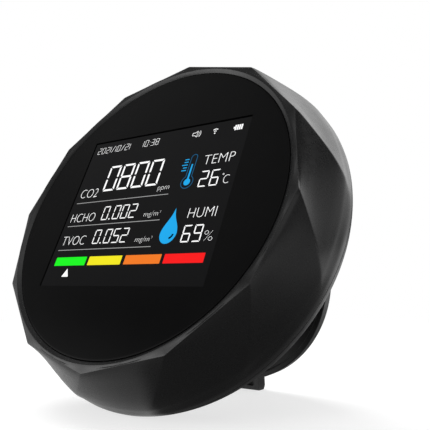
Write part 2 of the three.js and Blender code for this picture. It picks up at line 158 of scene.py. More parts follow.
def prism(loop, z0, z1, bevel=0.0, seg=3):
    """verts, faces of an outline [(x, y)] drawn out from z0 to z1, its top edge (z1) rounded by bevel"""
    loop = [np.array(p, float) for p in loop]
    n = len(loop)
    normals = []
    for i in range(n):
        t = loop[(i + 1) % n] - loop[i - 1]
        t = t / max(np.linalg.norm(t), 1e-9)
        normals.append(np.array([t[1], -t[0]]))
    rings = [(0, z0), (0, z1)] if bevel <= 0 else [(0, z0)] + [
        (bevel * (1 - math.cos(math.pi / 2 * k / seg)), z1 - math.copysign(bevel, z1 - z0) * (1 - math.sin(math.pi / 2 * k / seg))) for k in range(seg + 1)]
    verts, faces = [], []
    for d, z in rings:
        for p, nm in zip(loop, normals):
            q = p - nm * d
            verts.append((q[0], q[1], z))
    for k in range(len(rings) - 1):
        for i in range(n):
            j = (i + 1) % n
            faces.append((k * n + i, k * n + j, (k + 1) * n + j, (k + 1) * n + i))
    faces.append(tuple(range(n))[::-1])
    faces.append(tuple(range((len(rings) - 1) * n, len(rings) * n)))
    return verts, faces


def merged(*parts):
    verts, faces = [], []
    for v, f in parts:
        s = len(verts)
        verts += [tuple(p) for p in v]
        faces += [tuple(i + s for i in q) for q in f]
    return verts, faces


def moved(part, m):
    """verts, faces through a 3x4 or 4x4 matrix in the device frame"""
    v, f = part
    m = np.array(m, float)
    return [tuple(m[:3, :3] @ np.array(p) + m[:3, 3]) for p in v], f


def turn_z(part, deg):
    a = math.radians(deg)
    return moved(part, [[math.cos(a), -math.sin(a), 0, 0], [math.sin(a), math.cos(a), 0, 0], [0, 0, 1, 0]])


def combine(o, other, op):
    m = o.modifiers.new("b", "BOOLEAN")
    m.operation, m.solver, m.object = op, "EXACT", other
    me = bpy.data.meshes.new_from_object(o.evaluated_get(bpy.context.evaluated_depsgraph_get()))
    o.modifiers.clear()
    old = o.data
    o.data = me
    bpy.data.meshes.remove(old)
    return o


def boolean(o, cutters, op="DIFFERENCE"):
    """cut or join with device-frame solids, exactly"""
    for i, part in enumerate(cutters):
        v, f = part
        c = make(f"tmp_{i}", v, f, place=PLACES[o.name], smooth=False)
        combine(o, c, op)
        bpy.data.objects.remove(c)
    return o


PLACES = {}


def weigh(o):
    """shading normals that follow the large faces, so flats stay flat and only the small edge rounds turn"""
    m = o.modifiers.new("w", "WEIGHTED_NORMAL")
    m.mode, m.weight, m.keep_sharp = "FACE_AREA", 50, True
    me = bpy.data.meshes.new_from_object(o.evaluated_get(bpy.context.evaluated_depsgraph_get()))
    o.modifiers.clear()
    old = o.data
    o.data = me
    bpy.data.meshes.remove(old)
    return o


def settle(o):
    """nothing reaches below the desk"""
    for v in o.data.vertices:
        if v.co.z < 0:
            v.co.z = 0


def solid(name, part, place=to_world, smooth=True, angle=32):
    PLACES[name] = place
    return make(name, *part, place=place, smooth=smooth, angle=angle)


def place_open(p):
    return to_world(opened(p))


# ------------------------------------------------------------------ materials
def node_material(name, build):
    m = bpy.data.materials.new(name)
    m.use_nodes = True
    nt = m.node_tree
    nt.nodes.clear()
    out = nt.nodes.new("ShaderNodeOutputMaterial")
    bsdf = nt.nodes.new("ShaderNodeBsdfPrincipled")
    nt.links.new(bsdf.outputs[0], out.inputs[0])
    build(nt, bsdf)
    return m


def noise(nt, scale, detail=3.0, rough=0.5, coord=None):
    tc = nt.nodes.new("ShaderNodeTexCoord")
    n = nt.nodes.new("ShaderNodeTexNoise")
    n.inputs["Scale"].default_value = scale
    n.inputs["Detail"].default_value = detail
    n.inputs["Roughness"].default_value = rough
    nt.links.new(tc.outputs["Object"], n.inputs["Vector"])
    return n


def ramp(nt, src, lo, hi, a, b):
    """a value between lo and hi of src, mapped to a..b"""
    r = nt.nodes.new("ShaderNodeMapRange")
    r.inputs["From Min"].default_value = lo
    r.inputs["From Max"].default_value = hi
    r.inputs["To Min"].default_value = a
    r.inputs["To Max"].default_value = b
    nt.links.new(src, r.inputs["Value"])
    return r.outputs["Result"]


def colour_mix(nt, fac, a, b):
    m = nt.nodes.new("ShaderNodeMix")
    m.data_type = "RGBA"
    m.inputs[6].default_value = (*a, 1)
    m.inputs[7].default_value = (*b, 1)
    nt.links.new(fac, m.inputs[0])
    return m.outputs[2]


def bump(nt, bsdf, height, strength, distance):
    b = nt.nodes.new("ShaderNodeBump")
    b.inputs["Strength"].default_value = strength
    b.inputs["Distance"].default_value = distance
    nt.links.new(height, b.inputs["Height"])
    nt.links.new(b.outputs[0], bsdf.inputs["Normal"])


def moulded(name, dark, light, rough=(0.3, 0.4), grain=5200, depth=0.00001, strength=0.25, spec=0.5):
    def build(nt, bsdf):
        broad = noise(nt, 38, 3)
        fine = noise(nt, grain, 2, 0.6)
        mid = noise(nt, 420, 4, 0.6)
        c = colour_mix(nt, ramp(nt, broad.outputs["Fac"], 0.3, 0.7, 0, 1), dark, light)
        nt.links.new(c, bsdf.inputs["Base Color"])
        nt.links.new(ramp(nt, mid.outputs["Fac"], 0.3, 0.7, *rough), bsdf.inputs["Roughness"])
        bsdf.inputs["Specular IOR Level"].default_value = spec
        bump(nt, bsdf, fine.outputs["Fac"], strength, depth)
    return node_material(name, build)


def metal(name, colour, rough=(0.2, 0.35), scale=900):
    def build(nt, bsdf):
        n = noise(nt, scale, 4, 0.6)
        broad = noise(nt, 90, 2)
        c = colour_mix(nt, ramp(nt, broad.outputs["Fac"], 0.3, 0.7, 0, 1), tuple(x * 0.85 for x in colour), colour)
        nt.links.new(c, bsdf.inputs["Base Color"])
        bsdf.inputs["Metallic"].default_value = 1.0
        nt.links.new(ramp(nt, n.outputs["Fac"], 0.3, 0.7, *rough), bsdf.inputs["Roughness"])
        bump(nt, bsdf, n.outputs["Fac"], 0.15, 0.00001)
    return node_material(name, build)


GLASS_SPEC = 0.05     # the lens is coated, so it mirrors little of the room


def glow(name, colour, strength, base=0.004):
    """a lit part of the screen, under the same gloss as the glass"""
    def build(nt, bsdf):
        n = noise(nt, 260, 2)
        c = colour_mix(nt, ramp(nt, n.outputs["Fac"], 0.3, 0.7, 0, 1), tuple(x * 0.97 for x in colour), colour)
        bsdf.inputs["Base Color"].default_value = (base, base, base, 1)
        nt.links.new(c, bsdf.inputs["Emission Color"])
        bsdf.inputs["Emission Strength"].default_value = strength
        bsdf.inputs["Roughness"].default_value = 0.08
        bsdf.inputs["Specular IOR Level"].default_value = GLASS_SPEC
    return node_material(name, build)


def srgb(r, g, b):
    return tuple((x / 255 / 12.92) if x / 255 <= 0.04045 else ((x / 255 + 0.055) / 1.055) ** 2.4 for x in (r, g, b))


M = {}
M["shell"] = moulded("satin_black_shell", (0.0052, 0.0052, 0.0055), (0.0072, 0.0072, 0.0075), rough=(0.24, 0.30), spec=0.48)
M["cover"] = moulded("satin_black_cover", (0.0058, 0.0058, 0.0061), (0.0086, 0.0086, 0.009), rough=(0.36, 0.46), grain=2900, strength=0.5, depth=0.00003, spec=0.45)
M["stand"] = moulded("satin_black_stand", (0.011, 0.011, 0.0113), (0.015, 0.015, 0.0153), rough=(0.3, 0.4), grain=2900, strength=0.5, depth=0.00003, spec=0.45)
M["cap"] = moulded("matt_black_cap", (0.012, 0.012, 0.0125), (0.017, 0.017, 0.018), rough=(0.45, 0.6), strength=0.35, depth=0.000014)
M["print"] = moulded("grey_print", (0.3, 0.3, 0.3), (0.36, 0.36, 0.36), rough=(0.5, 0.65), strength=0.1)
M["dark_plastic"] = moulded("dark_grey_moulding", (0.035, 0.035, 0.037), (0.05, 0.05, 0.053), rough=(0.45, 0.6))
M["chip"] = moulded("black_epoxy", (0.01, 0.01, 0.011), (0.016, 0.016, 0.017), rough=(0.35, 0.5))
M["ivory"] = moulded("ivory_moulding", (0.62, 0.58, 0.47), (0.72, 0.68, 0.56), rough=(0.35, 0.5))
M["foam"] = moulded("grey_foam", (0.06, 0.06, 0.065), (0.1, 0.1, 0.105), rough=(0.85, 0.98), strength=0.8, depth=0.0001, grain=2200)
M["tape"] = moulded("black_tape", (0.012, 0.012, 0.013), (0.02, 0.02, 0.021), rough=(0.7, 0.9))
M["pouch"] = metal("pouch_film", (0.62, 0.63, 0.65), rough=(0.25, 0.42), scale=400)
M["amber"] = moulded("amber_film", (0.38, 0.15, 0.025), (0.5, 0.22, 0.04), rough=(0.25, 0.35))
M["board"] = moulded("green_solder_mask", (0.006, 0.075, 0.03), (0.012, 0.12, 0.05), rough=(0.25, 0.4), grain=1400)
M["gilt"] = metal("gilt_can", (0.83, 0.62, 0.3), rough=(0.22, 0.36))
M["steel"] = metal("plated_steel", (0.62, 0.62, 0.63), rough=(0.2, 0.34))
M["black_steel"] = metal("blackened_steel", (0.11, 0.11, 0.115), rough=(0.28, 0.4))


def glass_build(nt, bsdf):
    n = noise(nt, 60, 4, 0.6)
    m = noise(nt, 700, 2)
    nt.links.new(colour_mix(nt, ramp(nt, n.outputs["Fac"], 0.3, 0.7, 0, 1), (0.0056, 0.0056, 0.0057), (0.0064, 0.0064, 0.0065)), bsdf.inputs["Base Color"])
    nt.links.new(ramp(nt, n.outputs["Fac"], 0.35, 0.75, 0.035, 0.075), bsdf.inputs["Roughness"])
    bsdf.inputs["Specular IOR Level"].default_value = GLASS_SPEC
    bump(nt, bsdf, m.outputs["Fac"], 0.02, 0.000004)


M["glass"] = node_material("black_glass", glass_build)


def screen_build(nt, bsdf):
    n = noise(nt, 60, 4, 0.6)
    bsdf.inputs["Base Color"].default_value = (0.006, 0.006, 0.0064, 1)
    nt.links.new(colour_mix(nt, ramp(nt, n.outputs["Fac"], 0.3, 0.7, 0, 1), srgb(22.5, 22.5, 22.5), srgb(24.5, 24.5, 24.5)), bsdf.inputs["Emission Color"])
    bsdf.inputs["Emission Strength"].default_value = 0.42
    nt.links.new(ramp(nt, n.outputs["Fac"], 0.35, 0.75, 0.05, 0.09), bsdf.inputs["Roughness"])
    bsdf.inputs["Specular IOR Level"].default_value = GLASS_SPEC


M["screen"] = node_material("screen_field", screen_build)
# near-black with almost no gloss: the painted shadow along the screen's top and left sides, and the dark arc printed
# inside the drop sign
M["screen_edge"] = moulded("screen_edge_shadow", (0.0004, 0.0004, 0.0004), (0.0006, 0.0006, 0.0006), rough=(0.4, 0.5), spec=0.004)
M["white"] = glow("lit_white", (1, 1, 1), 1.15)
M["soft_white"] = glow("lit_soft_white", srgb(205, 205, 205), 1.0)
M["dim_white"] = glow("lit_rule", srgb(170, 170, 170), 1.0)
M["fine_white"] = glow("lit_fine_white", (1, 1, 1), 1.1)
M["green"] = glow("lit_green", srgb(27, 248, 35), 1.0)
M["yellow"] = glow("lit_yellow", srgb(246, 234, 33), 1.0)
M["orange"] = glow("lit_orange", srgb(245, 124, 38), 1.0)
M["red"] = glow("lit_red", srgb(253, 28, 29), 1.0)
M["blue"] = glow("lit_blue", srgb(30, 172, 240), 1.0)
M["deep_blue"] = glow("lit_deep_blue", srgb(22, 92, 134), 1.0)

NODE_LOOK = {
    "glass_adhesive": "tape", "display_panel": "screen", "display_backlight": "steel", "display_bracket": "dark_plastic",
    "display_ribbon": "amber", "ribbon_connector": "ivory", "battery_pad": "foam", "battery_cell": "pouch", "battery_connector": "ivory",
    "main_board": "board", "co2_sensor": "gilt", "formaldehyde_sensor": "steel", "tvoc_sensor": "steel", "temp_humidity_sensor": "ivory",
    "alarm_buzzer": "chip", "wireless_module": "steel", "processor_chip": "chip", "button_board": "board",
    "power_switch": "chip", "menu_switch": "chip", "alarm_switch": "chip",
}


def dress(o, mat):
    o.data.materials.clear()
    o.data.materials.append(mat)


for node, look in NODE_LOOK.items():
    dress(frame["nodes"][node], M[look])
for node, o in frame["nodes"].items():
    if "screw" in node:
        dress(o, M["black_steel"])


def piece(o, mat, body, replaces=(), weighted=False):
    if weighted:
        weigh(o)
    dress(o, mat)
    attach(o, body)
    if replaces:
        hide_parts(*replaces)
    return o


# ------------------------------------------------------------------ front housing
FACETS, R_CORNER, Z_CORNER, R_CREST, Z_CREST = 12, 43.07, 0.33, 40.9, 0.58
TWIST, Z_RIDGE = 1.285, -15.4
BODY_Z = np.array([0.33, 0, -1.91, -3.83, -5.74, -7.66, -9.57, -11.5, -13.4, -14.4, -15.4, -17.3])
BODY_R = np.array([43.07, 43.35, 43.83, 44.40, 44.98, 45.65, 46.22, 46.70, 46.96, 47.0, 46.97, 46.69])
_p = np.polyfit(BODY_Z, BODY_R, 5)


def body_radius(z):
    return np.minimum(np.polyval(_p, z), 46.93)


# the polygon's side from one corner to the next, with the corner slightly rounded
_a = np.linspace(-15, 15, 3001)
_side = math.cos(math.radians(15)) / np.cos(np.radians(_a))


def side_shape(local, sigma):
    """radius of the polygon over its corner radius at an angle from mid-side, the corner rounded over sigma degrees"""
    g = np.linspace(-3 * sigma, 3 * sigma, 31)
    w = np.exp(-0.5 * (g / sigma) ** 2)
    w /= w.sum()
    t = local[:, None] + g[None]
    t = (t + 15) % 30 - 15
    return (math.cos(math.radians(15)) / np.cos(np.radians(t)) * w).sum(1)


# how much of the flat polygon is left at a depth; the rest is round
KEEP = [(0.33, 1.0), (-0.4, 0.9), (-1.2, 0.8), (-3.0, 0.68), (-6.0, 0.56), (-9.0, 0.47), (-11.5, 0.37), (-13.4, 0.24), (-14.6, 0.1), (-15.4, 0.0), (-18.0, 0.0)]
_kz = np.array([k[0] for k in KEEP])[::-1]
_kv = np.array([k[1] for k in KEEP])[::-1]


def keep_at(z):
    """a smooth curve through the table, by averaging over a short depth"""
    g = np.linspace(-0.9, 0.9, 19)
    w = np.cos(g / 0.9 * math.pi / 2) ** 2 + 1e-6
    lo = min(1.0, max(0.0, (0.33 - z) / 0.9))
    return float((np.interp(z + g * lo, _kz, _kv) * w).sum() / w.sum())


def front_housing():
    half = np.array([0, 2.5, 5, 7.5, 9.8, 11.6, 12.9, 13.7, 14.2, 14.5, 14.72, 14.88])
    local = np.concatenate([-half[::-1], half[1:]])
    local = np.concatenate([local, [15.0]])          # one corner for each side
    cols = len(local)
    theta = np.concatenate([k * 30 + 15 + local for k in range(FACETS)])
    loc = np.tile(local, FACETS)
    n = len(theta)
    # depth samples of the side, denser at both ends
    zs = np.concatenate([np.linspace(0.33, -1.2, 6), np.linspace(-1.8, -16.4, 42), np.linspace(-16.65, -17.2, 4), [-17.27, -17.32, -17.36, -17.39, -17.4]])
    rows = []

    def ring(r, z, twist=True):
        a = np.radians(theta - (TWIST * (Z_CORNER - np.minimum(z, Z_CORNER)) if twist else 0))
        rows.append(np.stack([r * np.cos(a), r * np.sin(a), np.broadcast_to(z, a.shape)], 1))

    shape_sharp = side_shape(loc, 0.28)
    edge_r = body_radius(0.33) * shape_sharp
    # inside of the shell, from the parting plane forwards, then over the ledge and out of the pocket
    for r, z in rounded([(44.35, -17.4), (44.3, -13), (43.5, -10), (42.1, -7), (41.0, -3.9), (38.9, -3.9), (38.9, -2.15), (40.0, -2.15), (40.0, -0.12), (40.9, 0.58)],
                        [0, 2, 2, 2, 0.4, 0.3, 0.2, 0.1, 0.08, 0], seg=4)[:-1]:
        ring(np.full(n, r), z)
    # bezel: the chamfer's crest, the narrow band, and the polygon's rounded edge
    crest = rounded([(40.35, 0.17), (40.9, 0.58), (41.4, 0.53)], [0, 0.22, 0], seg=6)
    for r, z in crest[:-1]:
        ring(np.full(n, r), z)
    c_r, c_z = crest[-1]
    for t in (0.0, 0.35, 0.7):
        ring(c_r + (edge_r - 0.26 - c_r) * t, c_z + (0.375 - c_z) * t)
    # rounded outer edge between the band and the side, a small quarter turn
    er = 0.18
    for k in range(7):
        a = math.radians(5 + 82 * k / 6)
        ring(edge_r - er * (1 - math.sin(a)), 0.36 - er * (1 - math.cos(a)))
    for z in zs[zs < -0.02]:
        t = min(1.0, max(0.0, (Z_CORNER - z) / (Z_CORNER - Z_RIDGE)))
        keep = keep_at(z)
        shape = side_shape(loc, 0.28 + 0.5 * t * t)
        r = body_radius(z) * (keep * shape + (1 - keep))
        if z < -17.2:
            r = r - 0.2 * (1 - math.sqrt(max(0.0, 1 - ((-17.2 - z) / 0.2) ** 2)))
        ring(r, z)
    verts = np.concatenate(rows)
    faces = []
    m = len(rows)
    for k in range(m):
        a, b = k * n, ((k + 1) % m) * n
        for i in range(n):
            j = (i + 1) % n
            faces.append((a + i, a + j, b + j, b + i))
    return solid("front_shell", (verts, faces), angle=50)


shell = piece(front_housing(), M["shell"], "case", ["front_housing"], weighted=True)

# ------------------------------------------------------------------ glass
glass_profile = rounded([(0, 0), (39.86, 0), (39.86, -1.3), (0, -1.3)], [0, 0.2, 0.1, 0], seg=6)
glass = solid("glass_lens", lathe([(0, 0)] + [(r * 39.3 / 12, 0) for r in (3, 6, 9, 12)] + glass_profile[1:], 288), angle=60)
piece(glass, M["glass"], "case", ["cover_glass"])

# ------------------------------------------------------------------ what the screen shows
UP = 0.012          # the lit layer lies this far over the glass, mm


def flat(name, loops, mat, z0=UP, z1=None):
    """thin printed solids from outlines; loops is a list of outlines"""
    z1 = z1 if z1 is not None else z0 + 0.02
    part = merged(*[prism(l, z0, z1) for l in loops])
    o = solid(name, part, smooth=False)
    return piece(o, mat, "case")


def bar(x0, y0, x1, y1, w, cut0=0.0, cut1=0.0):
    """a stroke from one point to another, pointed at its ends; cut0 and cut1 are not used"""
    p, q = np.array([x0, y0], float), np.array([x1, y1], float)
    d = (q - p) / np.linalg.norm(q - p)
    s = np.array([-d[1], d[0]]) * w / 2
    h = w * 0.5
    return [tuple(v) for v in (p, p + d * h - s, q - d * h - s, q, q - d * h + s, p + d * h + s)]


SEG = {"0": "abcdef", "1": "bc", "2": "abged", "3": "abgcd", "4": "fgbc", "5": "afgcd", "6": "afgedc", "7": "abc", "8": "abcdefg", "9": "abcdfg"}


def digit(ch, x, y, w, h, t, gap=0.07):
    """seven-segment strokes in a box with its lower left corner at x, y"""
    out = []
    c = t * 0.42
    X0, X1, Y0, Y1 = x + t / 2, x + w - t / 2, y + t / 2, y + h - t / 2
    YM = (Y0 + Y1) / 2
    g = gap

    def hor(yy, kind):
        a, b = X0 - t / 2 + g, X1 + t / 2 - g
        s = t * 0.95
        if kind == "top":
            return [(a + c * 0.6, yy + t / 2), (b - c * 0.6, yy + t / 2), (b, yy + t / 2 - c * 0.5), (b - s, yy - t / 2), (a + s, yy - t / 2), (a, yy + t / 2 - c * 0.5)]
        if kind == "bottom":
            return [(a + s, yy + t / 2), (b - s, yy + t / 2), (b, yy - t / 2 + c * 0.5), (b - c * 0.6, yy - t / 2), (a + c * 0.6, yy - t / 2), (a, yy - t / 2 + c * 0.5)]
        return [(a + t * 0.55, yy + t / 2), (b - t * 0.55, yy + t / 2), (b - t * 0.1, yy), (b - t * 0.55, yy - t / 2), (a + t * 0.55, yy - t / 2), (a + t * 0.1, yy)]

    def ver(xx, lo, hi, side, end):
        # side -1 left, 1 right; end: which end meets a corner
        a, b = lo, hi
        o, i = xx + side * t / 2, xx - side * t / 2
        if end == "top":
            return [(o, a + g + t * 0.25), (xx, a + g), (i, a + g + t * 0.5), (i, b - t * 0.55 - g), (o, b + t * 0.25 - g)]
        return [(o, b - g - t * 0.25), (xx, b - g), (i, b - g - t * 0.5), (i, a + t * 0.55 + g), (o, a - t * 0.25 + g)]

    for s in SEG[ch]:
        if s == "a":
            out.append(hor(Y1, "top"))
        elif s == "d":
            out.append(hor(Y0, "bottom"))
        elif s == "g":
            out.append(hor(YM, "mid"))
        elif s == "f":
            out.append(ver(X0, YM, Y1, -1, "top"))
        elif s == "b":
            out.append(ver(X1, YM, Y1, 1, "top"))
        elif s == "e":
            out.append(ver(X0, Y0, YM, -1, "bottom"))
        elif s == "c":
            out.append(ver(X1, Y0, YM, 1, "bottom"))
    return out


def ccw(loop):
    a = sum(p[0] * q[1] - q[0] * p[1] for p, q in zip(loop, loop[1:] + loop[:1]))
    return loop if a > 0 else loop[::-1]


def number(text, x, y, w, h, t, pitch, slant=0.0, dot_w=None, gap=0.08, narrow_one=False, span=None):
    out = []
    for ch in text:
        if ch == ".":
            out.append([(x, y), (x + t, y), (x + t, y + t), (x, y + t)])
            x += dot_w if dot_w else t * 1.6
            continue
        if ch == "1" and narrow_one:
            out += [[(p[0] - w + t, p[1]) for p in l] for l in digit(ch, x, y, w, h, t, gap=gap)]
            x += pitch - w + t
            continue
        if ch == ":":
            for yy in (y + h * 0.25, y + h * 0.65):
                out.append([(x, yy), (x + t, yy), (x + t, yy + t), (x, yy + t)])
            x += t + pitch - w
            continue
        if ch == "/":
            out.append([(x, y), (x + t * 1.1, y), (x + w * 0.8, y + h), (x + w * 0.8 - t * 1.1, y + h)])
            x += w * 0.8 + pitch - w
            continue
        out += digit(ch, x, y, w, h, t, gap=gap)
        x += pitch
    if slant:
        out = [[(p[0] + (p[1] - y) * slant, p[1]) for p in l] for l in out]
    if span:
        lo, hi = min(p[0] for l in out for p in l), max(p[0] for l in out for p in l)
        k = (span[1] - span[0]) / (hi - lo)
        out = [[(span[0] + (p[0] - lo) * k, p[1]) for p in l] for l in out]
    return [ccw(l) for l in out]


THIN, FINE = -0.027, -0.027


def label(text, x0, x1, y0, y1, mat, name, weight=0.0):
    """sans lettering fitted to a box; the box height is the capitals' height"""
    cu = bpy.data.curves.new(name + "_c", "FONT")
    cu.body = text
    cu.size = 1.0
    cu.extrude = 0.01
    cu.offset = weight
    cu.resolution_u = 6
    ob = bpy.data.objects.new(name + "_c", cu)
    bpy.context.scene.collection.objects.link(ob)
    bpy.context.view_layer.update()
    me = bpy.data.meshes.new_from_object(ob.evaluated_get(bpy.context.evaluated_depsgraph_get()))
    bpy.data.objects.remove(ob)
    co = np.zeros(len(me.vertices) * 3)
    me.vertices.foreach_get("co", co)
    co = co.reshape(-1, 3)
    lo, hi = co.min(0), co.max(0)
    s = (np.array([x1 - x0, y1 - y0]) / (hi - lo)[:2])
    pts = np.stack([x0 + (co[:, 0] - lo[0]) * s[0], y0 + (co[:, 1] - lo[1]) * s[1], np.where(co[:, 2] > 0, UP + 0.02, UP)], 1)
    faces = [tuple(p.vertices) for p in me.polygons]
    bpy.data.meshes.remove(me)
    o = solid(name, (pts, faces), smooth=False)
    return piece(o, mat, "case")


def disc_loop(x, y, r, n=40, a0=0, a1=360):
    full = abs(a1 - a0) >= 360
    m = n if full else n + 1
    return [(x + r * math.cos(math.radians(a0 + (a1 - a0) * i / n)), y + r * math.sin(math.radians(a0 + (a1 - a0) * i / n))) for i in range(m)]


def band(path, w):
    """outline of a stroke of width w along a path"""
    p = [np.array(q, float) for q in path]
    left, right = [], []
    for i in range(len(p)):
        t = p[min(i + 1, len(p) - 1)] - p[max(i - 1, 0)]
        t = t / np.linalg.norm(t)
        nrm = np.array([-t[1], t[0]]) * w / 2
        left.append(tuple(p[i] + nrm))
        right.append(tuple(p[i] - nrm))
    return right + left[::-1]


# the field, a shade lighter than the glass, with a painted shadow along its top and left sides: a dark strip in a
# near-black, unlit material
flat("screen_field", [rect_loop(51.6, 43.47, 0.15, 0.2, -0.235, 2)], M["screen"], z0=0.003, z1=0.010)
flat("screen_edge", [[(-26.12, -21.97), (-25.6, -21.97), (-25.6, 21.55), (26.0, 21.55), (26.0, 22.1), (-26.12, 22.1)]], M["screen_edge"], z0=0.003, z1=0.014)

flat("date_digits", number("2021/10/21", -24.05, 17.95, 0.96, 2.0, 0.095, 1.42, slant=0.03, gap=0.03, narrow_one=True, span=(-23.95, -11.85)), M["fine_white"])
flat("clock_digits", number("10:38", -7.2, 17.95, 0.96, 2.0, 0.095, 1.42, slant=0.03, gap=0.03, narrow_one=True, span=(-7.05, -1.7)), M["fine_white"])
flat("co2_digits", number("0800", -16.1, 5.17, 4.05, 7.82, 0.55, 4.94, gap=0.2), M["white"])


def reading(text, y):
    """four digits of a reading with its point after the first"""
    out = [[(-9.82, y), (-9.45, y), (-9.45, y + 0.37), (-9.82, y + 0.37)]]
    for ch, x in zip(text, (-12.6, -8.77, -5.96, -3.17)):
        out += digit(ch, x, y, 2.16, 4.0, 0.27, gap=0.11)
    return [ccw(l) for l in out]


flat("hcho_digits", reading("0002", -3.72), M["white"])
flat("tvoc_digits", reading("0052", -10.52), M["white"])
flat("temperature_digits", number("26", 15.95, 3.14, 2.36, 4.4, 0.31, 3.14, gap=0.1), M["white"])
flat("humidity_digits", number("69", 15.95, -11.3, 2.36, 4.36, 0.31, 3.14, gap=0.1), M["white"])
label("CO2", -24.0, -17.6, 3.67, 6.36, M["white"], "label_co2", THIN)
label("HCHO", -24.0, -15.15, -3.73, -1.25, M["white"], "label_hcho", THIN)
label("TVOC", -23.95, -15.5, -10.52, -7.98, M["white"], "label_tvoc", THIN)
label("TEMP", 15.55, 24.3, 9.45, 12.0, M["white"], "label_temp", THIN)
label("HUMI", 15.9, 23.7, -5.03, -2.53, M["white"], "label_humi", THIN)
label("ppm", 3.65, 7.2, 3.12, 4.55, M["fine_white"], "unit_ppm", FINE)
label("mg/m³", 2.05, 7.2, -4.13, -2.32, M["fine_white"], "unit_hcho", FINE)
label("mg/m³", 2.05, 7.2, -11.0, -9.2, M["fine_white"], "unit_tvoc", FINE)
label("C", 22.95, 24.45, 3.4, 5.68, M["white"], "unit_celsius", THIN)
label("%", 22.2, 24.68, -11.15, -8.62, M["white"], "unit_percent", THIN)
flat("degree_ring", [band(disc_loop(22.56, 5.98, 0.17, 24, 0, 359), 0.09)], M["white"])
flat("rules", [[(-24.28, y - 0.08), (7.65, y - 0.08), (7.65, y + 0.08), (-24.28, y + 0.08)] for y in (2.12, -4.93, -11.98)], M["dim_white"])
for nm, x0, x1 in (("green", -23.5, -12.35), ("yellow", -11.38, -0.28), ("orange", 0.82, 11.9), ("red", 12.85, 24.08)):
    flat("level_" + nm, [rect_loop(x1 - x0, 2.36, 0.12, (x0 + x1) / 2, -15.25, 3)], M[nm])
flat("level_pointer", [ccw([(-19.1, -19.5), (-16.74, -19.5), (-17.92, -17.3)])], M["white"])

# thermometer: a dark blue outline round a bright column and bulb
bx, by, ty = 12.3, 4.98, 11.95


def thermo_path(r1, r2, n=18):
    a = math.degrees(math.asin(min(1, r1 / r2)))
    right = disc_loop(bx, by, r2, 40, 90 - a - 360 + 2 * a, 90 - a)
    top = disc_loop(bx, ty, r1, n, 0, 180)
    return right + top


flat("thermometer_outline", [band(thermo_path(0.87, 1.74) + [thermo_path(0.87, 1.74)[0]], 0.19)], M["deep_blue"])
flat("thermometer_bulb", [disc_loop(bx, by, 0.94, 36)], M["blue"], z0=UP + 0.002)
flat("thermometer_column", [ccw([(bx - 0.27, by), (bx + 0.27, by), (bx + 0.2, 10.05), (bx - 0.2, 10.05)])], M["blue"], z0=UP + 0.003)
flat("thermometer_ticks", [[(x, y - 0.13), (10.83, y - 0.13), (10.83, y + 0.13), (x, y + 0.13)]
                           for x, y in ((9.62, 11.58), (9.62, 10.8), (9.17, 10.0), (9.68, 9.2), (9.45, 8.42))], M["blue"])
# drop: an oval foot drawn up to a slender point
DROP_X, DROP_Y = 11.72, -8.7
DROP_UP = ((-8.7, 2.46), (-8.0, 2.34), (-7.2, 2.09), (-6.4, 1.73), (-5.6, 1.28), (-4.8, 0.87), (-4.0, 0.51), (-3.2, 0.26), (-2.4, 0.07))
drop_fit = np.polyfit([p[0] for p in DROP_UP], [p[1] for p in DROP_UP], 5)
drop_ys = np.linspace(-2.45, -8.5, 26)
drop_side = [(float(np.polyval(drop_fit, y)), float(y)) for y in drop_ys]
outline = [(DROP_X, -2.15)] + [(DROP_X - w, y) for w, y in drop_side] \
    + [(DROP_X + 2.46 * math.cos(math.radians(a)), DROP_Y + 2.75 * math.sin(math.radians(a))) for a in range(180, 361, 6)] \
    + [(DROP_X + w, y) for w, y in drop_side[::-1]]
flat("drop", [ccw(outline)], M["blue"])
flat("drop_gleam", [ccw(band([(12.0 + 1.2 * math.cos(math.radians(a)), -8.9 + 1.2 * math.sin(math.radians(a))) for a in range(-76, -2, 6)], 0.52))], M["screen_edge"], z0=UP + 0.004)
# small signs along the top: sound, wireless waves, battery
speaker = [(9.2, 18.7), (9.92, 18.7), (10.75, 18.12), (10.75, 20.06), (9.92, 19.6), (9.2, 19.6)]
speaker_in = [(9.33, 18.83), (9.97, 18.83), (10.64, 18.36), (10.64, 19.84), (9.97, 19.47), (9.33, 19.47)]
sv, sf = [(x, y, z) for z in (UP, UP + 0.02) for x, y in speaker + speaker_in], []
for a in range(6):
    b = (a + 1) % 6
    sf += [(12 + a, 12 + b, 18 + b, 18 + a), (a, 6 + a, 6 + b, b), (a, b, 12 + b, 12 + a), (6 + a, 18 + a, 18 + b, 6 + b)]
waves = [prism(ccw(band([(10.3 + r * math.cos(math.radians(a)), 19.1 + r * math.sin(math.radians(a))) for a in range(-m, m + 1, 8)], w)), UP, UP + 0.02)
         for r, m, w in ((0.92, 48, 0.1), (1.42, 40, 0.13))]
piece(solid("sound_sign", merged((sv, sf), *waves), smooth=False), M["fine_white"], "case")
flat("wireless_sign", [disc_loop(16.17, 18.4, 0.2, 16)] + [ccw(band([(16.17 + r * math.cos(math.radians(a)), 18.35 + r * math.sin(math.radians(a))) for a in range(58, 123, 8)], 0.23)) for r in (0.72, 1.3)], M["fine_white"])
flat("battery_sign", [[(21.5, 18.78), (21.8, 18.78), (21.8, 19.3), (21.5, 19.3)]] + [[(x, 18.28), (x + 0.43, 18.28), (x + 0.43, 19.76), (x, 19.76)] for x in (21.86, 22.45, 23.04, 23.63)], M["fine_white"])

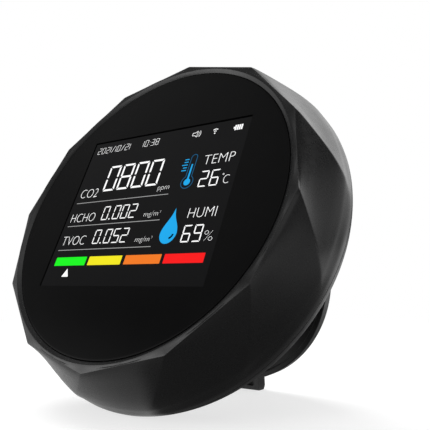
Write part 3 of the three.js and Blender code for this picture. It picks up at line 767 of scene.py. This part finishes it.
# ------------------------------------------------------------------ rear cover
COVER_OUT = [(46.64, -17.5), (46.10, -18.9), (45.22, -20.68), (44.1, -22.2), (42.6, -23.8), (40.8, -25.3), (38.8, -26.7), (36.8, -27.9), (35.0, -28.75), (33.6, -29.25), (32.9, -29.4)]
COVER_IN = [(44.4, -17.5), (43.2, -20.3), (40.6, -23.1), (36.9, -25.5), (34.1, -26.8)]
R_RECESS, Z_RECESS, Z_FLOOR_IN, Z_BACK = 32.4, -25.6, -24.0, -29.4
BUTTON_R = 40.2
BUTTONS = {"power": 78, "menu": 90, "alarm": 102}
COVER_SCREWS = [(38.6 * math.cos(math.radians(a)), 38.6 * math.sin(math.radians(a))) for a in (60, 120, 240, 300)]


def smooth_curve(points, n):
    """points resampled on a Catmull-Rom curve"""
    P = [np.array(p, float) for p in points]
    P = [2 * P[0] - P[1]] + P + [2 * P[-1] - P[-2]]
    out = []
    for i in range(1, len(P) - 2):
        for k in range(n):
            t = k / n
            a, b, c, d = P[i - 1], P[i], P[i + 1], P[i + 2]
            out.append(tuple(0.5 * (2 * b + (c - a) * t + (2 * a - 5 * b + 4 * c - d) * t * t + (3 * b - a - 3 * c + d) * t ** 3)))
    out.append(tuple(P[-2]))
    return out


def box_part(x0, x1, y0, y1, z0, z1):
    return prism([(x0, y0), (x1, y0), (x1, y1), (x0, y1)], z0, z1)


def drum_part(x, y, z0, z1, r, n=48):
    return prism(disc_loop(x, y, r, n), z0, z1)


def bar_x(x0, x1, y, z, r, n=40):
    v, f = prism(disc_loop(0, 0, r, n), x0, x1)
    return [(p[2], y + p[0], z + p[1]) for p in v], f


def port_part(w, h, r, x0, x1, z=-19.85, seg=6):
    v, f = prism(rect_loop(w, h, r, 0, 0, seg), x0, x1)
    return [(p[2], p[0], z + p[1]) for p in v], f


def rear_cover():
    outer = rounded([(46.3, -17.5), (46.64, -17.5), (46.5, -17.87)], [0, 0.16, 0], seg=5)[:-1] + smooth_curve(COVER_OUT, 5)[2:]
    rim = rounded([outer[-2], (32.75, -29.4), (R_RECESS, -29.4), (R_RECESS, Z_RECESS), (26, Z_RECESS)], [0, 0.3, 0.3, 0.35, 0], seg=5)
    profile = outer[:-1] + rim[1:] + [(20, Z_RECESS), (10, Z_RECESS), (0, Z_RECESS), (0, Z_FLOOR_IN), (34.1, Z_FLOOR_IN)] + COVER_IN[::-1]
    o = solid("back_cover", lathe(profile, 240), angle=30)
    # screw posts and the walls of the foot notch, kept inside the outline
    cuts = []
    for x, y in COVER_SCREWS:
        cuts += [drum_part(x, y, -31, -22.3, 2.4, 56), drum_part(x, y, -23, -20, 1.5, 24)]
    fills = [drum_part(x, y, -30, -20.75, 3.85) for x, y in COVER_SCREWS]
    fills += [box_part(-9.8, 9.8, -39.4, -33.0, -30, -24.2)]
    hull = [(0, -17.6), (44.0, -17.6)] + [(r - 0.06, z + 0.05) for r, z in smooth_curve(COVER_OUT, 5)[2:-1]] + [(R_RECESS + 0.35, Z_BACK + 0.05), (R_RECESS + 0.05, Z_BACK + 0.35), (R_RECESS + 0.05, Z_RECESS + 0.05), (0, Z_RECESS + 0.05)]
    block = make("tmp_hull", *lathe(hull, 240), place=to_world, smooth=False)
    for k, f in enumerate(fills):
        post = solid(f"tmp_post_{k}", f, smooth=False)
        combine(post, block, "INTERSECT")
        combine(o, post, "UNION")
        bpy.data.objects.remove(post)
    bpy.data.objects.remove(block)
    boolean(o, cuts)
    boolean(o, [box_part(-14.2, 14.2, 24, 31.0, -31, Z_RECESS + 0.002), bar_x(-18, 18, HINGE[0], HINGE[1], 1.0)])
    boolean(o, [prism([(-8.1, -31), (-8.1, -37.2), (-7.3, -38.0), (7.3, -38.0), (8.1, -37.2), (8.1, -31)], -31, -25.5)])
    a, b = port_part(11.0, 5.2, 2.2, -46.3, -40), port_part(9.7, 3.9, 1.6, -50, -40)
    lead = (a[0][:len(a[0]) // 2] + [(-45.1, p[1], p[2]) for p in b[0][len(b[0]) // 2:]], a[1])
    boolean(o, [b, lead])
    for a in BUTTONS.values():
        boolean(o, [drum_part(BUTTON_R * math.cos(math.radians(a)), BUTTON_R * math.sin(math.radians(a)), -31, -21, 2.6)])
    slots = []
    for k in range(-4, 5):
        for base in (0, 180):
            slots.append(turn_z(prism(rect_loop(6.4, 1.5, 0.74, 39.3, 0, 6), -31, -20), base + k * 7.5))
    boolean(o, [merged(*slots)])
    settle(o)
    finish_normals(o.data, True, 30)
    return o


cover = piece(rear_cover(), M["cover"], "case", ["rear_cover"], weighted=True)

# ------------------------------------------------------------------ stand plate, drawn closed and placed open
R_PLATE, PLATE_Y = 30.0, -2.0


def stand_plate():
    R = R_PLATE
    outer = rounded([(0, Z_BACK), (R - 0.7, Z_BACK), (R, -28.8), (R, -26.0), (R - 1.4, -26.0), (R - 1.4, -28.0), (0, -28.0)],
                    [0, 0.5, 0.5, 0.25, 0.2, 0.4, 0], seg=5)
    prof = [(0, Z_BACK), (10, Z_BACK), (20, Z_BACK), (26, Z_BACK)] + outer[1:-1] + [(24, -28.0), (16, -28.0), (8, -28.0), (0, -28.0)]
    o = solid("stand_dish", lathe(prof, 240, centre=(0, PLATE_Y)), place=place_open, angle=30)
    boolean(o, [box_part(-40, 40, 25.0, 45, -40, 0)])
    # an engraved ring inside the edge of its back
    boolean(o, [lathe([(27.4, -30.0), (28.0, -30.0), (28.0, Z_BACK + 0.1), (27.85, Z_BACK + 0.24), (27.55, Z_BACK + 0.24), (27.4, Z_BACK + 0.1)], 240, centre=(0, PLATE_Y))])
    # the dish's own straight rim under the hinge
    boolean(o, [prism([(-15.2, 23.6), (15.2, 23.6), (12.9, 24.99), (-12.9, 24.99)], -29.0, -26.0)], "UNION")
    boolean(o, [prism([(-13.6, 22.6), (13.6, 22.6), (13.6, 28.4), (-13.6, 28.4)], -29.4, -27.9)], "UNION")
    boolean(o, [bar_x(-13.6, 13.6, HINGE[0], HINGE[1], 1.8, 56)], "UNION")
    for x in (-6.7, 6.7):
        boolean(o, [box_part(x - 0.7, x + 0.7, -30.6, 24, -28.7, -26.5)], "UNION")
    sole = math.tan(math.radians(OPEN - LEAN))
    end = -34.455
    foot = rounded([(-29.5, -26.0), (end, -26.0), (end - sole * 2.7, -28.7), (end + 0.9, -29.4), (-29.5, -29.4)], [0, 0.25, 0.3, 0.3, 0], seg=4)
    v, f = prism([(p[0], p[1]) for p in foot], -7.5, 7.5)
    boolean(o, [([(p[2], p[0], p[1]) for p in v], f)], "UNION")
    boolean(o, [prism(rect_loop(11.8, 9.0, 0.5, 0, -33.3 + 4.5, 4), -28.2, -20)])
    boolean(o, [bar_x(-20, 20, HINGE[0], HINGE[1], 1.0)])
    # three shallow grip grooves across the back near the foot
    boolean(o, [merged(*[prism(rect_loop(12.0, 0.7, 0.34, 0, y, 4), -30, -29.15) for y in (-23.6, -25.3, -27.0)])])
    finish_normals(o.data, True, 30)
    return o


stand = piece(stand_plate(), M["stand"], "stand", ["stand_plate"], weighted=True)

# ------------------------------------------------------------------ pin, screws, buttons, socket
pin = solid("hinge_pin", (lambda p: ([(q[2], HINGE[0] + q[0], HINGE[1] + q[1]) for q in p[0]], p[1]))(lathe(rounded([(0, -17.4), (0.75, -17.4), (0.75, 17.4), (0, 17.4)], [0, 0.15, 0.15, 0], seg=4), 40)), angle=40)
piece(pin, M["steel"], "case", ["stand_pin"])


def cover_screw(i, x, y):
    z0, ht = -23.9, 1.3
    prof = rounded([(0, z0), (1.2, z0 + 0.02), (1.9, z0 + 0.6), (1.9, z0 + ht), (0.95, z0 + ht), (0.95, z0 + ht + 7.5), (0, z0 + ht + 7.5)], [0, 0.5, 0.15, 0.1, 0.1, 0.2, 0], seg=4)
    o = solid(f"screw_{i}", lathe([(p[0], p[1]) for p in prof], 48, centre=(x, y)), angle=35)
    cross = []
    for a in (22, 112):
        v, f = prism([(-1.15, -0.2), (1.15, -0.2), (1.15, 0.2), (-1.15, 0.2)], z0 - 1, z0 + 0.75)
        v = [(p[0] * (1 if p[2] < z0 else 0.45), p[1], p[2]) for p in v]
        c, s = math.cos(math.radians(a)), math.sin(math.radians(a))
        cross.append(([(x + p[0] * c - p[1] * s, y + p[0] * s + p[1] * c, p[2]) for p in v], f))
    boolean(o, cross)
    finish_normals(o.data, True, 35)
    return piece(o, M["black_steel"], "case", [f"cover_screw_{i}"])


for i, (x, y) in enumerate(COVER_SCREWS, 1):
    cover_screw(i, x, y)


def slope_z(r):
    """depth of the cover's outer surface at a radius"""
    pts = COVER_OUT[::-1]
    return float(np.interp(r, [p[0] for p in pts], [p[1] for p in pts]))


for nm, a in BUTTONS.items():
    bx_, by_ = BUTTON_R * math.cos(math.radians(a)), BUTTON_R * math.sin(math.radians(a))
    # rings from the stem to a face that follows the cover's slope
    verts, faces = [], []
    n = 48

    def ring(r, f):
        s = len(verts)
        for i in range(n):
            t = 2 * math.pi * i / n
            x, y = bx_ + r * math.cos(t), by_ + r * math.sin(t)
            verts.append((x, y, f(x, y)))
        return s
    face = lambda inset: (lambda x, y: slope_z(math.hypot(x, y)) - 0.5 + inset)
    rings = [ring(1.2, lambda x, y: -22.6), ring(1.2, lambda x, y: -23.4), ring(2.3, lambda x, y: -23.4), ring(2.3, face(0.35)), ring(2.26, face(0.2)), ring(2.16, face(0.09)), ring(1.98, face(0.02)),
             ring(1.7, face(0.0)), ring(1.1, face(0.03)), ring(0.5, face(0.06))]
    for p, q in zip(rings, rings[1:]):
        for i in range(n):
            j = (i + 1) % n
            faces.append((p + i, p + j, q + j, q + i))
    faces.append(tuple(range(rings[0], rings[0] + n))[::-1])
    faces.append(tuple(range(rings[-1], rings[-1] + n)))
    o = solid(f"{nm}_cap", (verts, faces), angle=60)
    piece(o, M["cap"], f"{nm}_key", [f"{nm}_button"])
    # a plain symbol printed on the face
    if nm == "power":
        signs = [band([(0.85 * math.cos(math.radians(b)), -0.05 + 0.85 * math.sin(math.radians(b))) for b in range(125, 416, 10)], 0.2), [(-0.1, 0.1), (0.1, 0.1), (0.1, 1.05), (-0.1, 1.05)]]
    elif nm == "menu":
        signs = [[(-0.85, v - 0.1), (0.85, v - 0.1), (0.85, v + 0.1), (-0.85, v + 0.1)] for v in (-0.55, 0.0, 0.55)]
    else:
        signs = [[(-0.85, -0.45), (-0.85, -0.58), (0.85, -0.58), (0.85, -0.45), (0.6, -0.15)] + [(0.58 * math.cos(math.radians(b)), 0.25 + 0.6 * math.sin(math.radians(b))) for b in range(0, 181, 15)] + [(-0.6, -0.15)],
                 disc_loop(0, -0.82, 0.17, 12)]
    rx, ry, tx, ty = math.cos(math.radians(a)), math.sin(math.radians(a)), math.sin(math.radians(a)), -math.cos(math.radians(a))
    parts_ = []
    for l in signs:
        v, f = prism(ccw([(-p[0], p[1]) for p in l]), 0.0, 1.0)
        w = []
        for p in v:
            x = bx_ + rx * p[1] * 0.9 + tx * p[0]
            y = by_ + ry * p[1] * 0.9 + ty * p[0]
            w.append((x, y, slope_z(math.hypot(x, y)) - 0.5 + (0.05 if p[2] < 0.5 else -0.045)))
        parts_.append((w, f))
    piece(solid(f"{nm}_symbol", merged(*parts_), smooth=False), M["print"], f"{nm}_key")

# charging socket: a drawn shell with a tongue inside
v1, f1 = port_part(8.94, 3.2, 1.45, -44.7, -35.4)
sock = solid("socket_shell", (v1, f1), angle=40)
boolean(sock, [port_part(8.3, 2.56, 1.2, -45.5, -36.7)])
finish_normals(sock.data, True, 40)
piece(sock, M["steel"], "case", ["usb_port"])
tongue = solid("socket_tongue", port_part(6.6, 0.7, 0.2, -44.0, -36.8, seg=3), angle=40)
piece(tongue, M["chip"], "case")
pads = merged(*[([(p[2], p[0], p[1]) for p in prism([(y - 0.16, -19.49), (y + 0.16, -19.49), (y + 0.16, -19.46), (y - 0.16, -19.46)], -43.7, -41.3)[0]], prism([(0, 0), (1, 0), (1, 1), (0, 1)], 0, 1)[1]) for y in np.arange(-2.75, 2.8, 0.5)])
piece(solid("socket_contacts", pads, smooth=False), M["gilt"], "case")

# ------------------------------------------------------------------ stage
def floor_build():
    """pale card: to the camera, diffuse with an even glow near the object, fading into the white background further
    out; to the object's gloss, a glow of painted light and painted shadow set by position
    """
    m = bpy.data.materials.new("pale_floor")
    m.use_nodes = True
    nt = m.node_tree
    nt.nodes.clear()
    N, L = nt.nodes.new, nt.links.new
    out, tc = N("ShaderNodeOutputMaterial"), N("ShaderNodeTexCoord")
    ln = N("ShaderNodeVectorMath")
    ln.operation = "LENGTH"
    L(tc.outputs["Object"], ln.inputs[0])
    n = noise(nt, 3, 3)
    far = N("ShaderNodeMapRange")
    far.interpolation_type = "SMOOTHSTEP"
    for k, val in (("From Min", 0.06), ("From Max", 0.34), ("To Min", 0.0), ("To Max", 1.0)):
        far.inputs[k].default_value = val
    L(ln.outputs["Value"], far.inputs["Value"])
    matt = N("ShaderNodeBsdfDiffuse")
    L(colour_mix(nt, ramp(nt, n.outputs["Fac"], 0.3, 0.7, 0, 1), (0.12, 0.12, 0.12), (0.14, 0.14, 0.14)), matt.inputs["Color"])
    sep = N("ShaderNodeSeparateXYZ")
    L(tc.outputs["Object"], sep.inputs[0])
    # what the object's gloss sees: painted light, a strong glow under its left half, and a painted shadow, a weak glow
    # under its right half that rises further out and behind
    away = N("ShaderNodeMapRange")
    away.interpolation_type = "SMOOTHSTEP"
    for k, val in (("From Min", 0.07), ("From Max", 0.21), ("To Min", FLOOR_PAINTED_SHADOW), ("To Max", FLOOR_FAR)):
        away.inputs[k].default_value = val
    L(ln.outputs["Value"], away.inputs["Value"])
    across = N("ShaderNodeMapRange")
    across.interpolation_type = "SMOOTHSTEP"
    for k, val in (("From Min", 0.006), ("From Max", -0.04), ("To Min", FLOOR_PAINTED_LIGHT[0]), ("To Max", FLOOR_PAINTED_LIGHT[1])):
        across.inputs[k].default_value = val
    L(sep.outputs["X"], across.inputs["Value"])
    deep = N("ShaderNodeMapRange")
    deep.interpolation_type = "SMOOTHSTEP"
    for k, val in (("From Min", -0.03), ("From Max", -0.014), ("To Min", 0.72), ("To Max", 1.3)):
        deep.inputs[k].default_value = val
    L(sep.outputs["Y"], deep.inputs["Value"])
    both = N("ShaderNodeMath")
    both.operation = "MULTIPLY"
    L(across.outputs["Result"], both.inputs[0])
    L(deep.outputs["Result"], both.inputs[1])
    side = N("ShaderNodeMapRange")
    side.interpolation_type = "SMOOTHSTEP"
    for k, val in (("From Min", 0.0115), ("From Max", 0.0065)):
        side.inputs[k].default_value = val
    behind = N("ShaderNodeMapRange")
    behind.interpolation_type = "SMOOTHSTEP"
    for k, val in (("From Min", 0.055), ("From Max", 0.12), ("To Min", 0.0), ("To Max", FLOOR_BEHIND)):
        behind.inputs[k].default_value = val
    L(sep.outputs["Y"], behind.inputs["Value"])
    dark_side = N("ShaderNodeMath")
    dark_side.operation = "ADD"
    L(away.outputs["Result"], dark_side.inputs[0])
    L(behind.outputs["Result"], dark_side.inputs[1])
    L(dark_side.outputs[0], side.inputs["To Min"])
    L(both.outputs[0], side.inputs["To Max"])
    L(sep.outputs["X"], side.inputs["Value"])
    under = N("ShaderNodeEmission")
    L(side.outputs["Result"], under.inputs["Strength"])
    card = N("ShaderNodeAddShader")
    L(matt.outputs[0], card.inputs[0])
    L(under.outputs[0], card.inputs[1])
    soft = N("ShaderNodeBsdfDiffuse")
    soft.inputs["Color"].default_value = (0.38, 0.38, 0.38, 1)
    lit = N("ShaderNodeEmission")
    lit.inputs["Strength"].default_value = FLOOR_GLOW
    add = N("ShaderNodeAddShader")
    L(soft.outputs[0], add.inputs[0])
    L(lit.outputs[0], add.inputs[1])
    white = N("ShaderNodeEmission")
    white.inputs["Strength"].default_value = 1.0
    seen = N("ShaderNodeMixShader")
    L(far.outputs["Result"], seen.inputs[0])
    L(add.outputs[0], seen.inputs[1])
    L(white.outputs[0], seen.inputs[2])
    lp = N("ShaderNodeLightPath")
    mix = N("ShaderNodeMixShader")
    L(lp.outputs["Is Camera Ray"], mix.inputs[0])
    L(card.outputs[0], mix.inputs[1])
    L(seen.outputs[0], mix.inputs[2])
    L(mix.outputs[0], out.inputs[0])
    return m


# the floor's glow strengths: an even glow for the camera; for the object's gloss, a painted shadow near its right, and
# painted light further out, behind it and under its left half
FLOOR_GLOW, FLOOR_PAINTED_SHADOW, FLOOR_FAR, FLOOR_BEHIND, FLOOR_PAINTED_LIGHT = 0.72, 0.088, 0.4, 0.55, (0.5, 0.38)
fl = make("floor", [(4 * math.cos(a), 4 * math.sin(a), 0) for a in np.linspace(0, 2 * math.pi, 97)[:-1]], [tuple(range(96))], place=None, smooth=False)
fl.location.z = -0.00005
dress(fl, floor_build())

world = bpy.data.worlds.new("studio")
bpy.context.scene.world = world
world.use_nodes = True
nt = world.node_tree
nt.nodes.clear()
wo = nt.nodes.new("ShaderNodeOutputWorld")
tc = nt.nodes.new("ShaderNodeTexCoord")


def panel(azimuth, elevation, inner, outer, strength):
    """a soft bright patch of the surroundings; azimuth 0 is +Y and 90 is +X"""
    a, e = math.radians(azimuth), math.radians(elevation)
    dot = nt.nodes.new("ShaderNodeVectorMath")
    dot.operation = "DOT_PRODUCT"
    dot.inputs[1].default_value = (math.sin(a) * math.cos(e), math.cos(a) * math.cos(e), math.sin(e))
    nt.links.new(tc.outputs["Generated"], dot.inputs[0])
    r = nt.nodes.new("ShaderNodeMapRange")
    r.interpolation_type = "SMOOTHSTEP"
    r.inputs["From Min"].default_value = math.cos(math.radians(outer))
    r.inputs["From Max"].default_value = math.cos(math.radians(inner))
    r.inputs["To Min"].default_value = 0.0
    r.inputs["To Max"].default_value = strength
    nt.links.new(dot.outputs["Value"], r.inputs["Value"])
    return r.outputs["Result"]


PANELS = [
    (3, 32, 14, 28, 1.6),
    (24, 6, 12, 30, 0.82),
    (38, 8, 4, 17, 0.4),
    (56, 19, 4, 18, 0.58),
    (84, 0, 12, 34, 0.12),
    (116, 14, 5, 26, 0.9),
    (-142, -2, 16, 38, 3.4),
    (-165, 6, 6, 22, 0.3),
    (-98, 10, 8, 20, 0.8),
    (-113, 20, 2, 17, 0.3),
    (-178, 28, 8, 26, 1.15),
    (165, 58, 8, 24, 1.05),
    (-154, 56, 2, 17, 0.3),
    (-78, 50, 10, 30, 0.15),
    (-113, 45, 4, 16, 0.35),
    (-52, 30, 12, 30, 0.2),
    (67, 44, 2, 18, 0.2),
    (120, 50, 12, 34, 0.35),
    (0, 88, 10, 34, 0.35),
]
level = None
for p_ in PANELS:
    s_ = panel(*p_)
    if level is None:
        level = s_
    else:
        m = nt.nodes.new("ShaderNodeMath")
        m.operation = "ADD"
        nt.links.new(level, m.inputs[0])
        nt.links.new(s_, m.inputs[1])
        level = m.outputs[0]
m = nt.nodes.new("ShaderNodeMath")
m.operation = "ADD"
m.inputs[1].default_value = 0.04
nt.links.new(level, m.inputs[0])
lp = nt.nodes.new("ShaderNodeLightPath")
room = nt.nodes.new("ShaderNodeBackground")
nt.links.new(m.outputs[0], room.inputs["Strength"])
white = nt.nodes.new("ShaderNodeBackground")
white.inputs["Color"].default_value = (1, 1, 1, 1)
mx = nt.nodes.new("ShaderNodeMixShader")
nt.links.new(lp.outputs["Is Camera Ray"], mx.inputs[0])
nt.links.new(room.outputs[0], mx.inputs[1])
nt.links.new(white.outputs[0], mx.inputs[2])
nt.links.new(mx.outputs[0], wo.inputs[0])


def area(name, loc, target, size, power, size_y=None, glossy=True):
    l = bpy.data.lights.new(name, "AREA")
    l.energy = power
    l.shape = "RECTANGLE"
    l.size = size
    l.size_y = size_y or size
    o = bpy.data.objects.new(name, l)
    o.location = loc
    o.rotation_euler = (Vector(target) - Vector(loc)).to_track_quat("-Z", "Y").to_euler()
    o.visible_glossy = glossy
    bpy.context.scene.collection.objects.link(o)
    return o


C = Vector((0, 0, 0.045))
area("key", (-0.62, 0.30, 0.95), C, 0.8, 13.0, glossy=False)
area("fill", (0.3, -0.5, 1.1), C, 0.9, 1.5, glossy=False)

# ------------------------------------------------------------------ camera
cam_data = bpy.data.cameras.new("camera")
cam = bpy.data.objects.new("camera", cam_data)
bpy.context.scene.collection.objects.link(cam)
right, up, bk = Vector((0.790929, 0.611878, -0.006129)), Vector((0.043642, -0.046416, 0.997968)), Vector((0.610350, -0.789589, -0.063415))
cam.matrix_world = Matrix((
    (right.x, up.x, bk.x, 0.10566587), (right.y, up.y, bk.y, -0.12626138), (right.z, up.z, bk.z, 0.03212943), (0, 0, 0, 1)))
cam_data.sensor_width = 36
cam_data.lens = 53.78388
cam_data.shift_x = 0.039057
cam_data.shift_y = 0.046697
cam_data.clip_start, cam_data.clip_end = 0.005, 60
bpy.context.scene.camera = cam
bpy.context.scene.view_settings.view_transform = "Standard"
bpy.context.scene.view_settings.look = "None"

bpy.context.view_layer.update()
